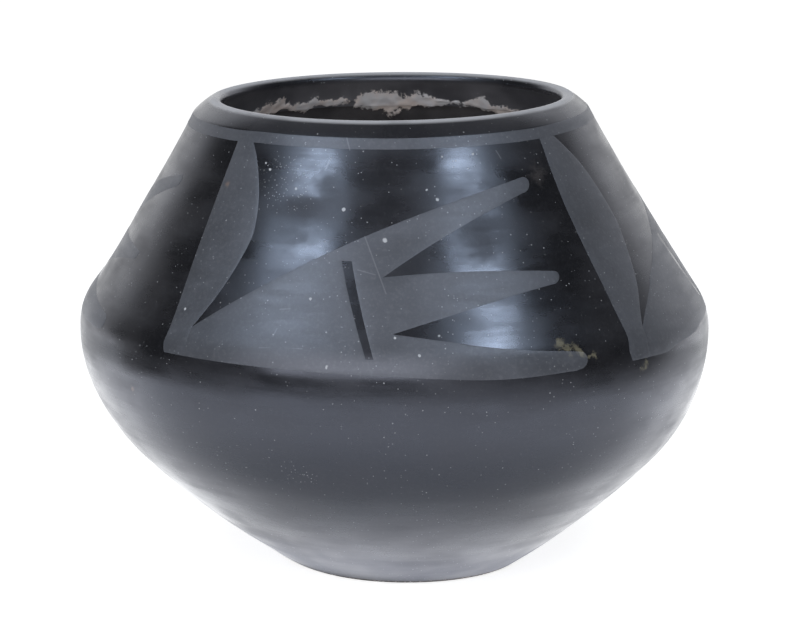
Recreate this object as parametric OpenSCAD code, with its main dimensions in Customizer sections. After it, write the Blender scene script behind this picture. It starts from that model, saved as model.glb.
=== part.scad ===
// Coil-built black jar with a matte painted design.
// The jar is round about the Z axis and stands on the plane z = 0.
// The middle of painted unit 1 faces the -Y side.

/* [Body] */
// Height from the resting face to the crest of the lip
jar_h = 150; // [135:1:170]
// Diameter at the widest line
shoulder_d = 200; // [185:1:220]
// Height of the widest line above the resting face
shoulder_z = 78; // [70:1:86]
// Radius of the quick turn from the widest line into the upper wall
shoulder_r = 19; // [13:1:26]
// Radius of the belly just below the widest line
belly_r = 58; // [48:1:68]
// Radius of the long slow curve between the belly and the foot
bowl_sweep = 250; // [200:5:400]
// Radius of the slight hollow of the upper wall
neck_sweep = 700; // [400:10:1500]
// Diameter of the flat resting face
base_d = 71.5; // [60:0.5:86]
// Radius of the rounded edge of the foot
foot_r = 4; // [1.5:0.1:5]

/* [Lip] */
// Diameter of the circle along the crest of the lip
mouth_d = 112; // [98:1:126]
// Radius of the gently rounded, slanting face of the lip
lip_r = 26; // [18:1:40]
// Radius of the bend between the upper wall and the lip's face
bend_r = 2.5; // [1.5:0.1:5]
// Radius of the round between the lip's face and its crest
crest_r = 2.2; // [1.5:0.1:3.5]

/* [Clay] */
// Thickness of the clay wall under the slip
wall_t = 6.5; // [5:0.1:8.5]
// Thickness of the clay floor
floor_t = 8; // [5:0.1:12]
// Radius of the curve between the floor and the inside wall
floor_r = 24; // [12:1:36]
// Height of the outer edge of the pressed base pad
pad_h = 24; // [18:1:32]
// Height of the rim coil, from its outer joint to the crest
rim_h = 16; // [12:1:22]
// Slant of each joint: how far its inner edge lies below its outer edge
lap = 8; // [3:0.5:12]

/* [Slip] */
// Thickness of the polished slip
slip_t = 0.3; // [0.2:0.05:0.6]
// Height at which the slip starts above the resting face
slip_z = 1.2; // [0.6:0.1:3]
// Width of the slipped and polished strip inside the neck, under the lip
neck_slip_w = 4; // [2:0.5:12]

/* [Paint] */
// Thickness of the matte paint
paint_t = 0.25; // [0.15:0.05:0.5]
// Rise of the painted field's lower edge above the widest line
paint_rise = 2; // [0:0.5:8]
// Depth of the rim band's upper edge below the crest
band_drop = 4.9; // [3.5:0.1:8]
// Height of the matte band under the lip
band_h = 3.3; // [2:0.1:8]
// Reach of the fingers of each fan round the jar, in degrees from its leaf's straight edge
fan_reach = [78, 76, 77, 69]; // [66:1:84]
// Radius of the round tip of each finger, from the top one down
tip_r = [2.1, 1.7, 2.5]; // [1:0.1:3]
// Widths of the polished slit that is left open in each fan, at its top and at its foot
slit_w = [3, 2.3]; // [1.5:0.1:5]

/* [Hidden] */
$fn = 144;

// Most that a straight facet may leave its true curve
curve_gap = 0.03;
// Straight steps in each brush edge and in each round fingertip
brush_steps = 8;
tip_steps = 8;
coil_count = 8;
// Directions that the lip's face looks in, above level, at its lower and at its upper edge
lip_start_a = 46;
lip_end_a = 60;
// Number of times that the leaf and fan repeat round the jar
unit_count = 4;

dark_clay = [0.23, 0.21, 0.20];
light_clay = [0.27, 0.25, 0.23];
polished_black = [0.07, 0.07, 0.08];
matte_black = [0.36, 0.36, 0.38];

// The outer wall is a chain of arcs that touch, from the foot to the crest of the lip.
// Centres are [radius from the axis, height].
foot_c = [base_d / 2, foot_r];
belly_c = [shoulder_d / 2 - belly_r, shoulder_z];
shoulder_c = [shoulder_d / 2 - shoulder_r, shoulder_z];
crest_c = [mouth_d / 2, jar_h - crest_r];
lip_c = crest_c - (lip_r - crest_r) * ray(lip_end_a);
bend_c = lip_c + (lip_r - bend_r) * ray(lip_start_a);
bowl_c = touch(belly_c, bowl_sweep - belly_r, foot_c, bowl_sweep - foot_r);
neck_c = touch(shoulder_c, neck_sweep + shoulder_r, bend_c, neck_sweep + bend_r);

foot_a = bearing(bowl_c, foot_c);
belly_a = bearing(bowl_c, belly_c);
neck_a = bearing(shoulder_c, neck_c);
bend_a = bearing(bend_c, neck_c);

// Each arc is [centre, radius, first angle, last angle], and the hollow one has a minus radius
arcs = [
    [foot_c, foot_r, -90, foot_a],
    [bowl_c, bowl_sweep, foot_a, belly_a],
    [belly_c, belly_r, belly_a, 0],
    [shoulder_c, shoulder_r, 0, neck_a],
    [neck_c, -neck_sweep, neck_a, bend_a],
    [bend_c, bend_r, bend_a, lip_start_a],
    [lip_c, lip_r, lip_start_a, lip_end_a],
    [crest_c, crest_r, lip_end_a, 90]
];
arc_ends = [for (i = [0 : len(arcs)]) length_before(i)];

// Stations along the wall: [distance along it from the resting face, outer point, outward direction]
stations = [
    for (i = [0 : len(arcs) - 1])
        let (arc = arcs[i], n = steps(arc[1], arc[3] - arc[2]))
            for (k = [i == 0 ? 0 : 1 : n])
                let (share = k / n, a = arc[2] + share * (arc[3] - arc[2]))
                    [arc_ends[i] + share * arc_length(arc), arc[0] + arc[1] * ray(a), ray(a)]
];
radius_along = [for (p = stations) [p[0], p[1][0]]];
height_along = [for (p = stations) [p[0], p[1][1]]];
out_r_along = [for (p = stations) [p[0], p[2][0]]];
out_z_along = [for (p = stations) [p[0], p[2][1]]];
along_height = [for (p = stations) [p[1][1], p[0]]];

// Depths below the polished surface
clay_out = slip_t;
clay_in = slip_t + wall_t;
neck_in = slip_t + wall_t + slip_t;

// Inner round of the lip, which touches the crest and the polished inside of the neck
lip_reach = neck_sweep + neck_in;
lip_dx = neck_c[0] - mouth_d / 2;
lip_dz = neck_c[1] - jar_h;
lip_in_r = (lip_reach * lip_reach - lip_dx * lip_dx - lip_dz * lip_dz) / (2 * (lip_reach + lip_dz));
lip_in_c = [mouth_d / 2, jar_h - lip_in_r];
lip_in_a = 180 + bearing(lip_in_c, neck_c);

// Curve between the floor and the inside wall
floor_c = [
    bowl_c[0] + sqrt(pow(bowl_sweep - clay_in - floor_r, 2) - pow(floor_t + floor_r - bowl_c[1], 2)),
    floor_t + floor_r
];
floor_a = bearing(bowl_c, floor_c);
floor_s = arc_ends[1] + bowl_sweep * (floor_a - foot_a) * PI / 180;

// Distances along the wall
slip_s = lookup(slip_z, along_height);
pad_s = lookup(pad_h, along_height);
rim_s = lookup(jar_h - rim_h, along_height);
lip_s = arc_ends[5];
crest_s = arc_ends[len(arcs)];
neck_slip_s = lip_s - neck_slip_w;
coil_w = (rim_s - pad_s) / coil_count;

// The painted field, between its lower edge and the rim band
paint_z = shoulder_z + paint_rise;
band_top = jar_h - band_drop;
field_top = band_top - band_h;
field_h = field_top - paint_z;
field_s = [lookup(paint_z, along_height), lookup(field_top, along_height)];
band_s = [field_s[1], lookup(band_top, along_height)];
unit_a = 360 / unit_count;

// Points of the design: [degrees from the leaf's straight edge, share of the field's height].
// The cutters run past the field by this share, so that the field's own edges trim them.
past = 0.03;
// The leaf: a nearly straight side, a small round corner and a side that swells
leaf_side = [[-1.4, 1 + past], [-0.8, 0.6], [1.1, 0.05]];
leaf_corner = [[1.15, 0], [2.4, -past]];
leaf_foot = [6.35, 0.14];
leaf_swell = [[12.3, 0.414], [13.4, 0.595], [12.9, 0.813]];
leaf_neck = [3.6, 1.02];
// The fan's fingers, from the top one down:
// [pull of the upper edge, tip, pull of the lower edge, corner below the finger]
fingers = [
    [[32.3, 0.662], [78.5, 0.812], [57.6, 0.65], [43.2, 0.44]],
    [[60.3, 0.483], [78.8, 0.405], [62.1, 0.333], [45, 0.192]],
    [[60.9, 0.153], [78.5, 0.045], [70, -2 * past], [leaf_foot[0], -past]]
];
// Reach at which the fingers are drawn here, before each fan's own reach stretches them
drawn_reach = 78;
slit_ends = [[35.7, 0.508], [41, 0.075]];

function ray(a) = [cos(a), sin(a)];
function bearing(p, q) = atan2(q[1] - p[1], q[0] - p[0]);
function arc_length(arc) = abs(arc[1] * (arc[3] - arc[2])) * PI / 180;
function length_before(i) = i == 0 ? 0 : length_before(i - 1) + arc_length(arcs[i - 1]);
// Steps that keep an arc's facets within curve_gap of it
function steps(r, turn) = ceil(abs(turn) / (2 * acos(1 - curve_gap / abs(r))));
// The point at distance ra from a and rb from b, on the right of the way from a to b
function touch(a, ra, b, rb) =
    let (d = norm(b - a), u = (b - a) / d, s = (ra * ra - rb * rb + d * d) / (2 * d))
        a + u * s + sqrt(ra * ra - s * s) * [u[1], -u[0]];
// A point of the wall: s along it and t deep in it
function skin(s, t) = [
    lookup(s, radius_along) - t * lookup(s, out_r_along),
    lookup(s, height_along) - t * lookup(s, out_z_along)
];
// Points of the wall from s0 up to s1, t deep
function rising(s0, s1, t) = concat(
    [skin(s0, t)],
    [for (p = stations) if (p[0] > s0 + 0.01 && p[0] < s1 - 0.01) skin(p[0], t)],
    [skin(s1, t)]
);
function reversed(list) = [for (i = [len(list) - 1 : -1 : 0]) list[i]];
function falling(s1, s0, t) = reversed(rising(s0, s1, t));
function turn(c, r, a0, a1, n) = [for (i = [0 : n]) c + r * ray(a0 + (a1 - a0) * i / n)];
// Points from the crest over the inner round of the lip, t deep
function lip_inside(t) = turn(lip_in_c, lip_in_r - t, 90, lip_in_a, steps(lip_in_r, lip_in_a - 90));
// A point of the design as seen square on from the front of its unit
function seen(p) =
    let (z = paint_z + p[1] * field_h, r = skin(lookup(z, along_height), 0)[0])
        [r * sin(p[0] - unit_a / 2), z];
// The same, with the fingers stretched to the fan's own reach
function reached(p, reach) =
    let (stretch = (reach - leaf_foot[0]) / (drawn_reach - leaf_foot[0]))
        seen([leaf_foot[0] + (p[0] - leaf_foot[0]) * stretch, p[1]]);
// A brush edge from a towards b that is drawn to c on the way, without its last point
function brush(a, c, b) = [
    for (i = [0 : brush_steps - 1])
        let (k = i / brush_steps)
            (1 - k) * (1 - k) * a + 2 * k * (1 - k) * c + k * k * b
];
// A finger of the fan: its upper edge, its round tip and its lower edge
function finger(i, reach) =
    let (
        root = i == 0 ? seen(leaf_foot) : reached(fingers[i - 1][3], reach),
        tip = reached(fingers[i][1], reach),
        r = tip_r[i]
    )
    concat(
        brush(root, reached(fingers[i][0], reach), tip + [0, r]),
        [for (k = [0 : tip_steps - 1]) tip + r * ray(90 - 180 * k / tip_steps)],
        brush(tip - [0, r], reached(fingers[i][2], reach), reached(fingers[i][3], reach))
    );

module ring(points) {
    rotate_extrude() polygon(points);
}

module base_pad() {
    color(dark_clay)
        ring(concat(
            [[0, 0]],
            rising(0, slip_s, 0),
            rising(slip_s, pad_s, clay_out),
            falling(pad_s - lap, floor_s, clay_in),
            turn(floor_c, floor_r, floor_a, -90, steps(floor_r, floor_a + 90)),
            [[0, floor_t]]
        ));
}

// Coil k is pressed on the slanted edge below it, and its own inner edge hangs lower than its outer edge
module wall_coil(k) {
    low = pad_s + (k - 1) * coil_w;
    high = low + coil_w;
    color(k % 2 == 0 ? dark_clay : light_clay)
        ring(concat(
            rising(low, high, clay_out),
            falling(high - lap, low - lap, clay_in)
        ));
}

module rim_coil() {
    color(dark_clay)
        ring(concat(
            rising(rim_s, crest_s, clay_out),
            lip_inside(slip_t),
            falling(lip_s, rim_s - lap, clay_in)
        ));
}

module polished_slip() {
    color(polished_black)
        ring(concat(
            rising(slip_s, crest_s, 0),
            lip_inside(0),
            falling(lip_s, neck_slip_s, neck_in),
            rising(neck_slip_s, lip_s, clay_in),
            reversed(lip_inside(slip_t)),
            falling(crest_s, slip_s, clay_out)
        ));
}

module paint_ring(ends) {
    ring(concat(rising(ends[0], ends[1], -paint_t), falling(ends[1], ends[0], 0)));
}

module rim_band() {
    color(matte_black) paint_ring(band_s);
}

// The paint of unit k where the drawn outline covers the field
module painted(k) {
    color(matte_black)
        rotate([0, 0, (k - 1) * unit_a])
            intersection() {
                paint_ring(field_s);
                rotate([90, 0, 0])
                    linear_extrude(height = shoulder_d / 2 + 2 * paint_t)
                        children();
            }
}

module leaf_outline() {
    polygon(concat(
        brush(seen(leaf_side[0]), seen(leaf_side[1]), seen(leaf_side[2])),
        brush(seen(leaf_side[2]), seen(leaf_corner[0]), seen(leaf_corner[1])),
        [seen(leaf_corner[1]), seen([leaf_foot[0], -past])],
        brush(seen(leaf_foot), seen(leaf_swell[0]), seen(leaf_swell[1])),
        brush(seen(leaf_swell[1]), seen(leaf_swell[2]), seen(leaf_neck)),
        [seen(leaf_neck), seen([leaf_neck[0] - 1, 1 + past])]
    ));
}

module fan_outline(reach) {
    polygon(concat(
        [for (i = [0 : len(fingers) - 1]) each finger(i, reach)],
        [seen([leaf_foot[0], -past])]
    ));
}

module slit(reach) {
    top = reached(slit_ends[0], reach);
    foot = reached(slit_ends[1], reach);
    top_side = [slit_w[0] / 2, 0];
    foot_side = [slit_w[1] / 2, 0];
    polygon([top - top_side, top + top_side, foot + foot_side, foot - foot_side]);
}

module leaf(k) {
    painted(k) leaf_outline();
}

module fan(k) {
    painted(k)
        difference() {
            fan_outline(fan_reach[k - 1]);
            slit(fan_reach[k - 1]);
        }
}

base_pad();
wall_coil(1);  // wall_coil_1
wall_coil(2);  // wall_coil_2
wall_coil(3);  // wall_coil_3
wall_coil(4);  // wall_coil_4
wall_coil(5);  // wall_coil_5
wall_coil(6);  // wall_coil_6
wall_coil(7);  // wall_coil_7
wall_coil(8);  // wall_coil_8
rim_coil();
polished_slip();
rim_band();
leaf(1);  // leaf_1
leaf(2);  // leaf_2
leaf(3);  // leaf_3
leaf(4);  // leaf_4
fan(1);  // fan_1
fan(2);  // fan_2
fan(3);  // fan_3
fan(4);  // fan_4
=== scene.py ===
"""Looks of the coil-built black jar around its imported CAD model.

The jar's pieces are shaped here in millimetres by the same arcs and the same design points as the
model's source, with finer steps and the small unevenness of handwork, and written in metres.
Azimuths are 0 at the front and grow to the right.
"""

import math

import bpy
import numpy as np
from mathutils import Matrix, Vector, geometry


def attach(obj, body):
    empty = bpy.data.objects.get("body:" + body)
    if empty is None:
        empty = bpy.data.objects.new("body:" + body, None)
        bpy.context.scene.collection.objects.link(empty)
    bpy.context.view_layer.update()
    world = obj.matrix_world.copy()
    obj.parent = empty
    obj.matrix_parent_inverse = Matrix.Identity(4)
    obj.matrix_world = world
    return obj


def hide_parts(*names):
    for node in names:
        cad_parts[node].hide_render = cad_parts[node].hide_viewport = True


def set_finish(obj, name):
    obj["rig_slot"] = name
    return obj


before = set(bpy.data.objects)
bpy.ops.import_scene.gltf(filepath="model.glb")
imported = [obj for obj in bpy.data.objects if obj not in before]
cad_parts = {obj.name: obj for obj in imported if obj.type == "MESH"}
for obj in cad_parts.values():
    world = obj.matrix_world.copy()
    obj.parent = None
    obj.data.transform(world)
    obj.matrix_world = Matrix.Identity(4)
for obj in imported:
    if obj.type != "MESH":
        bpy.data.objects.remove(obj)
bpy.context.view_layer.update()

MM = 0.001
UP = math.pi / 2

# ---------------------------------------------------------------- the wall, as in the source

JAR_H = 150.0
SHOULDER_D = 200.0
SHOULDER_Z = 78.0
SHOULDER_R = 19.0
BELLY_R = 58.0
BOWL_SWEEP = 250.0
NECK_SWEEP = 700.0
BASE_D = 71.5
FOOT_R = 4.0
MOUTH_D = 112.0
LIP_R = 26.0
BEND_R = 2.5
CREST_R = 2.2
LIP_START_A = math.radians(46)
LIP_END_A = math.radians(60)
WALL_T = 6.5
FLOOR_T = 8.0
FLOOR_ROUND = 24.0
PAD_H = 24.0
RIM_H = 16.0
LAP = 8.0
COIL_COUNT = 8
SLIP_T = 0.3
SLIP_Z = 1.2
NECK_SLIP_W = 4.0
TABLE_STEPS = 4000


def touch(a, ra, b, rb):
    """The point at distance ra from a and rb from b, on the right of the way from a to b."""
    d = math.dist(a, b)
    u = ((b[0] - a[0]) / d, (b[1] - a[1]) / d)
    s = (ra * ra - rb * rb + d * d) / (2 * d)
    h = math.sqrt(ra * ra - s * s)
    return (a[0] + u[0] * s + h * u[1], a[1] + u[1] * s - h * u[0])


def bearing(p, q):
    return math.atan2(q[1] - p[1], q[0] - p[0])


def beside(c, r, a):
    """The point at distance r from c in direction a."""
    return (c[0] + r * math.cos(a), c[1] + r * math.sin(a))


foot_c = (BASE_D / 2, FOOT_R)
belly_c = (SHOULDER_D / 2 - BELLY_R, SHOULDER_Z)
shoulder_c = (SHOULDER_D / 2 - SHOULDER_R, SHOULDER_Z)
crest_c = (MOUTH_D / 2, JAR_H - CREST_R)
lip_c = beside(crest_c, CREST_R - LIP_R, LIP_END_A)
bend_c = beside(lip_c, LIP_R - BEND_R, LIP_START_A)
bowl_c = touch(belly_c, BOWL_SWEEP - BELLY_R, foot_c, BOWL_SWEEP - FOOT_R)
neck_c = touch(shoulder_c, NECK_SWEEP + SHOULDER_R, bend_c, NECK_SWEEP + BEND_R)
foot_a = bearing(bowl_c, foot_c)
belly_a = bearing(bowl_c, belly_c)
neck_a = bearing(shoulder_c, neck_c)
bend_a = bearing(bend_c, neck_c)
# From the resting face to the crest: centre, radius (negative where the wall is hollow), angles
ARCS = [
    (foot_c, FOOT_R, -UP, foot_a),
    (bowl_c, BOWL_SWEEP, foot_a, belly_a),
    (belly_c, BELLY_R, belly_a, 0.0),
    (shoulder_c, SHOULDER_R, 0.0, neck_a),
    (neck_c, -NECK_SWEEP, neck_a, bend_a),
    (bend_c, BEND_R, bend_a, LIP_START_A),
    (lip_c, LIP_R, LIP_START_A, LIP_END_A),
    (crest_c, CREST_R, LIP_END_A, UP),
]
CENTRES = np.array([a[0] for a in ARCS])
RADII, FIRST, LAST = (np.array([a[k] for a in ARCS]) for k in (1, 2, 3))
ENDS = np.concatenate([[0.0], np.cumsum(np.abs(RADII * (LAST - FIRST)))])


def wall(s):
    """Outer points (radius, height) and outward directions at distances s along the wall."""
    s = np.asarray(s, float)
    i = np.clip(np.searchsorted(ENDS, s, side="right") - 1, 0, len(ARCS) - 1)
    a = FIRST[i] + (s - ENDS[i]) / (ENDS[i + 1] - ENDS[i]) * (LAST[i] - FIRST[i])
    ray = np.stack([np.cos(a), np.sin(a)], -1)
    return CENTRES[i] + RADII[i][..., None] * ray, ray


S_TABLE = np.linspace(0, ENDS[-1], TABLE_STEPS)
R_TABLE, Z_TABLE = wall(S_TABLE)[0].T


def s_at(z):
    return np.interp(z, Z_TABLE, S_TABLE)


def r_at(z):
    return np.interp(z, Z_TABLE, R_TABLE)


# How deep the clay's outer and inner faces and the slip in the neck lie under the polished face
clay_out = SLIP_T
clay_in = SLIP_T + WALL_T
neck_in = SLIP_T + WALL_T + SLIP_T
lip_reach = NECK_SWEEP + neck_in
lip_dx = neck_c[0] - MOUTH_D / 2
lip_dz = neck_c[1] - JAR_H
lip_in_r = (lip_reach**2 - lip_dx**2 - lip_dz**2) / (2 * (lip_reach + lip_dz))
lip_in_c = (MOUTH_D / 2, JAR_H - lip_in_r)
lip_in_a = math.pi + bearing(lip_in_c, neck_c)
floor_rise = FLOOR_T + FLOOR_ROUND - bowl_c[1]
floor_out = math.sqrt((BOWL_SWEEP - clay_in - FLOOR_ROUND) ** 2 - floor_rise**2)
floor_c = (bowl_c[0] + floor_out, FLOOR_T + FLOOR_ROUND)
floor_a = bearing(bowl_c, floor_c)
floor_s = ENDS[1] + BOWL_SWEEP * (floor_a - foot_a)

slip_s = float(s_at(SLIP_Z))
pad_s = float(s_at(PAD_H))
rim_s = float(s_at(JAR_H - RIM_H))
# Where the neck's arc ends and the bend into the lip starts
lip_s = float(ENDS[5])
crest_s = float(ENDS[-1])
neck_slip_s = lip_s - NECK_SLIP_W
coil_w = (rim_s - pad_s) / COIL_COUNT

# ---------------------------------------------------------------- handwork

# A random field's mean wavelength, in sizes of its bumps, and how far each wave departs from it
WAVE_LENGTH = 2.2
WAVE_SPREAD = (0.7, 1.3)
WAVE_COUNT = 28

# The body leans a little to its right and its rings aren't quite level.
LEAN = 5.2
LEAN_SHIFT = 2.0
LEAN_Z = 48.0
SHOULDER_TILT = math.radians(-0.85)
RIM_TILT = math.radians(0.61)
TILT_START_Z = 4.0
# How far the lip dips at its front and at its back, and where that starts
RIM_DIP = (0.5, 0.1)
DIP_START_Z = 138.0
# Broad swellings and hollows: azimuth, spread in degrees, height, reach, and how far they stand out
SWELLINGS = (
    (-90, 50, 95, 14, -1.3),
    (-90, 50, 65, 18, 0.85),
    (90, 55, 88, 38, 0.8),
    (-85, 25, 1.5, 3.5, 1.6),
    (85, 25, 1.5, 4, -0.4),
)
# Heights and radii between which the unevenness fades in, so that the resting face stays flat
UNEVEN_Z = (1, 20)
UNEVEN_R = (10, 40)

# Random fields: height, size of the bumps in mm, seed, and how much they are squeezed upwards
UNEVEN = ((0.10, 34, 11, 1), (0.04, 13, 12, 1))
FINGER_MARKS = ((0.16, 15, 21, 2.2), (0.07, 4, 22, 1))
SEAM_FIELD = ((0.3, 25, 23, 1),)
CRUST_LINE = ((0.9, 14, 31, 0.1), (0.6, 5, 32, 1))
CRUST_WIDTH = ((1.0, 16, 33, 0.1),)
CRUST_GRAIN = ((0.75, 3.2, 34, 1), (0.55, 1.4, 35, 1))
CRUST_THIN = ((1.0, 20, 36, 0.3),)
CRUST_RELIEF = ((0.5, 1.6, 37, 1),)
CRUST_FRONT = ((1.0, 22, 38, 1),)
CRUST_BREAKS = ((1.0, 10, 39, 0.2),)

# The faint seams of the coils on the scraped inside
SEAM_DEEP = 0.4
SEAM_W = 1.6
SEAM_KEPT = 0.7
SEAM_START = 4.0
# Distances below the lip between which the scraped face goes over into the smoothed one
SCRAPED_FADE = (4.0, 8.0)

# The mineral crust: a ragged line round the inside of the neck, a little lower at the right
CRUST_Z = 139.9
CRUST_DROP = 1.0
CRUST_DROP_SIN = (0.2, 0.8)
CRUST_HALF_W = 2.3
CRUST_STRONG = 1.4
CRUST_RAGGED = 0.36
# Its gaps: how much they take off, and between which values of their field they open
CRUST_FRONT_GAPS = 1.3
CRUST_FRONT_COS = (-0.72, -0.5)
CRUST_FRONT_SPAN = (1.0, -0.6)
CRUST_GAPS = 0.8
CRUST_GAP_SPAN = (0.6, 1.4)
CRUST_THINNER = 0.28
CRUST_THIN_SPAN = (0.1, 1.1)
# How thick it stands, and the heights between which it lies
CRUST_T = 0.4
CRUST_T_FROM = 1.2
CRUST_FULL = 0.5
CRUST_REACH = (128, 147)
# Within the neck a point lies this far inside the outer wall, and the scraped look ends here
NECK_DEPTH = 3
SCRAPED_TOP = (145.5, 148.3)
# The crest's pale line, partly wear and partly a painted highlight, below the top
CREST_WEAR_AND_HIGHLIGHT_BAND = (1.1, 0.3)


def smooth(x, low, high):
    """0 at low and 1 at high, with a soft step between."""
    t = np.clip((x - low) / (high - low), 0, 1)
    return t * t * (3 - 2 * t)


def waves(p, size, seed):
    """A gentle random field over points p, about -1 to 1, with bumps of the given size."""
    rng = np.random.RandomState(seed)
    k = rng.normal(size=(WAVE_COUNT, 3))
    k /= np.linalg.norm(k, axis=1, keepdims=True)
    k *= (2 * math.pi / (size * WAVE_LENGTH)) * rng.uniform(*WAVE_SPREAD, (WAVE_COUNT, 1))
    phase = rng.uniform(0, 2 * math.pi, WAVE_COUNT)
    out = np.zeros(p.shape[:-1])
    for j in range(WAVE_COUNT):
        out += np.cos(p @ k[j] + phase[j])
    return out / math.sqrt(WAVE_COUNT)


def bumps(p, fields):
    """The sum of the random fields over points p."""
    return sum(h * waves(p * (1.0, 1.0, squeeze), size, seed) for h, size, seed, squeeze in fields)


def hand(p):
    """Points in mm as the potter's hand left them."""
    p = np.array(p, float)
    x, y, z = p[..., 0], p[..., 1], p[..., 2]
    r = np.hypot(x, y)
    off_axis = smooth(r, *UNEVEN_R)
    uneven = smooth(z, *UNEVEN_Z) * off_axis * bumps(p, UNEVEN)
    az = np.degrees(np.arctan2(x, -y))
    for middle, spread, height, reach, out in SWELLINGS:
        turn = (az - middle + 180) % 360 - 180
        uneven += out * off_axis * np.exp(-((turn / spread) ** 2) - ((z - height) / reach) ** 2)
    scale = 1 + uneven / np.maximum(r, 1)
    tilt = SHOULDER_TILT * smooth(z, TILT_START_Z, SHOULDER_Z)
    tilt += (RIM_TILT - SHOULDER_TILT) * smooth(z, SHOULDER_Z, JAR_H)
    dip = np.where(y < 0, *RIM_DIP) * (y / (MOUTH_D / 2)) ** 2
    q = np.empty_like(p)
    q[..., 0] = x * scale + LEAN_SHIFT - LEAN * (1 - np.exp(-np.maximum(z, 0) / LEAN_Z))
    q[..., 1] = y * scale
    q[..., 2] = z + x * np.tan(tilt) - dip * smooth(z, DIP_START_Z, JAR_H)
    return q


def turned(az, r, z):
    """Points at azimuth az, radius r and height z."""
    return np.stack([r * np.sin(az), -r * np.cos(az), z], -1)


def inner_relief(s, points):
    """How far the scraped inside stands proud of its true surface, in mm."""
    share = (s - LAP - pad_s) / coil_w
    seam = np.exp(-(((share - np.round(share)) * coil_w) / SEAM_W) ** 2)
    seam *= smooth(s, pad_s - SEAM_START, pad_s + SEAM_START)
    seam = SEAM_DEEP * seam * (SEAM_KEPT + bumps(points, SEAM_FIELD))
    return (bumps(points, FINGER_MARKS) - seam) * smooth(lip_s - s, *SCRAPED_FADE)


def crust_cover(points):
    """How surely the pale mineral crust lies on points inside the neck, from -1 to 1."""
    az = np.arctan2(points[..., 0], -points[..., 1])
    line = CRUST_Z + bumps(points, CRUST_LINE)
    line = line - CRUST_DROP * smooth(np.sin(az), *CRUST_DROP_SIN)
    body = 1 - np.abs(points[..., 2] - line) / (CRUST_HALF_W + bumps(points, CRUST_WIDTH))
    front = smooth(np.cos(az), *CRUST_FRONT_COS)
    body = body - CRUST_FRONT_GAPS * front * smooth(bumps(points, CRUST_FRONT), *CRUST_FRONT_SPAN)
    body = body - CRUST_GAPS * smooth(bumps(points, CRUST_BREAKS), *CRUST_GAP_SPAN)
    thin = CRUST_THINNER * smooth(bumps(points, CRUST_THIN), *CRUST_THIN_SPAN)
    return np.clip(CRUST_STRONG * body + CRUST_RAGGED * bumps(points, CRUST_GRAIN) - thin, -1, 1)


# ---------------------------------------------------------------- meshes

CRISP_A = math.radians(35)
SAME_POINT = 1e-4
ON_AXIS = 1e-6
# Steps in mm along a profile
STEP = 1.5
LIP_STEP = 0.4


def build(name, points, faces, slot):
    """A closed mesh object from points in mm, faces outwards, that stands for its node."""
    mesh = bpy.data.meshes.new(name)
    mesh.from_pydata((points * MM).tolist(), [], faces)
    mesh.validate()
    mesh.update()
    normal, centre, area = (np.zeros(len(mesh.polygons) * k) for k in (3, 3, 1))
    mesh.polygons.foreach_get("normal", normal)
    mesh.polygons.foreach_get("center", centre)
    mesh.polygons.foreach_get("area", area)
    volume = ((normal.reshape(-1, 3) * centre.reshape(-1, 3)).sum(1) * area).sum()
    if volume < 0:
        mesh.flip_normals()
    mesh.shade_smooth()
    mesh.set_sharp_from_angle(angle=CRISP_A)
    obj = bpy.data.objects.new(name + "_look", mesh)
    bpy.context.scene.collection.objects.link(obj)
    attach(obj, "root")
    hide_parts(name)
    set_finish(obj, slot)
    return obj


# A profile is four arrays: points (radius, height), outward directions, whether a point is on the
# scraped inside, and distances along the wall.


def strip(s0, s1, deep, gap=STEP, inside=False):
    """The profile between two distances along the wall, so deep under the polished face."""
    n = max(2, round(abs(s1 - s0) / gap) + 1)
    s = np.linspace(s0, s1, n)
    p, out = wall(s)
    return p - deep * out, out, np.full(n, inside), s


def arc_strip(c, r, a0, a1, gap, s, inside=False, sign=1):
    """The profile along an arc. Its outward side is away from c where sign is 1."""
    n = max(3, round(abs(r * (a1 - a0)) / gap) + 1)
    a = np.linspace(a0, a1, n)
    ray = np.stack([np.cos(a), np.sin(a)], -1)
    return np.array(c) + r * ray, sign * ray, np.full(n, inside), np.full(n, float(s))


def level_strip(radii, z, s, inside=False):
    """The profile of a level face that looks down."""
    n = len(radii)
    out = np.tile([0.0, -1.0], (n, 1))
    return np.stack([radii, np.full(n, z)], 1), out, np.full(n, inside), np.full(n, float(s))


def lip_inside(deep, back=False):
    """The profile of the lip's inner round, down into the neck, or back up to the crest."""
    p, out, inside, s = arc_strip(
        lip_in_c, lip_in_r - deep, UP, lip_in_a, LIP_STEP, lip_s, sign=-1
    )
    return (p[::-1], out[::-1], inside, s) if back else (p, out, inside, s)


def joined(*strips):
    """One closed profile from strips, without its double points."""
    p, out, inside, s = (np.concatenate([t[k] for t in strips]) for k in range(4))
    step = np.linalg.norm(np.diff(p, axis=0), axis=1)
    keep = np.concatenate([[True], step > SAME_POINT])
    if np.linalg.norm(p[0] - p[-1]) < SAME_POINT:
        keep[-1] = False
    return p[keep], out[keep], inside[keep], s[keep]


def ring_faces(count, n, closed):
    """Faces between n rings of count points, and the points they use.

    A profile that isn't closed has both its ends on the axis, and there each ring is one point.
    """
    ids = np.arange(count * n).reshape(count, n)
    after = np.roll(ids, -1, axis=0)
    quads = []
    for j in range(n if closed else n - 1):
        k = (j + 1) % n
        quads.append(np.stack([ids[:, j], after[:, j], after[:, k], ids[:, k]], 1))
    faces = np.concatenate(quads).tolist()
    if closed:
        return faces, ids.reshape(-1)
    same = {int(v): int(ids[0, j]) for j in (0, -1) for v in ids[:, j]}
    faces = [list(dict.fromkeys(same.get(v, v) for v in f)) for f in faces]
    used = sorted({v for f in faces for v in f})
    new = {v: t for t, v in enumerate(used)}
    return [[new[v] for v in f] for f in faces], used


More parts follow.
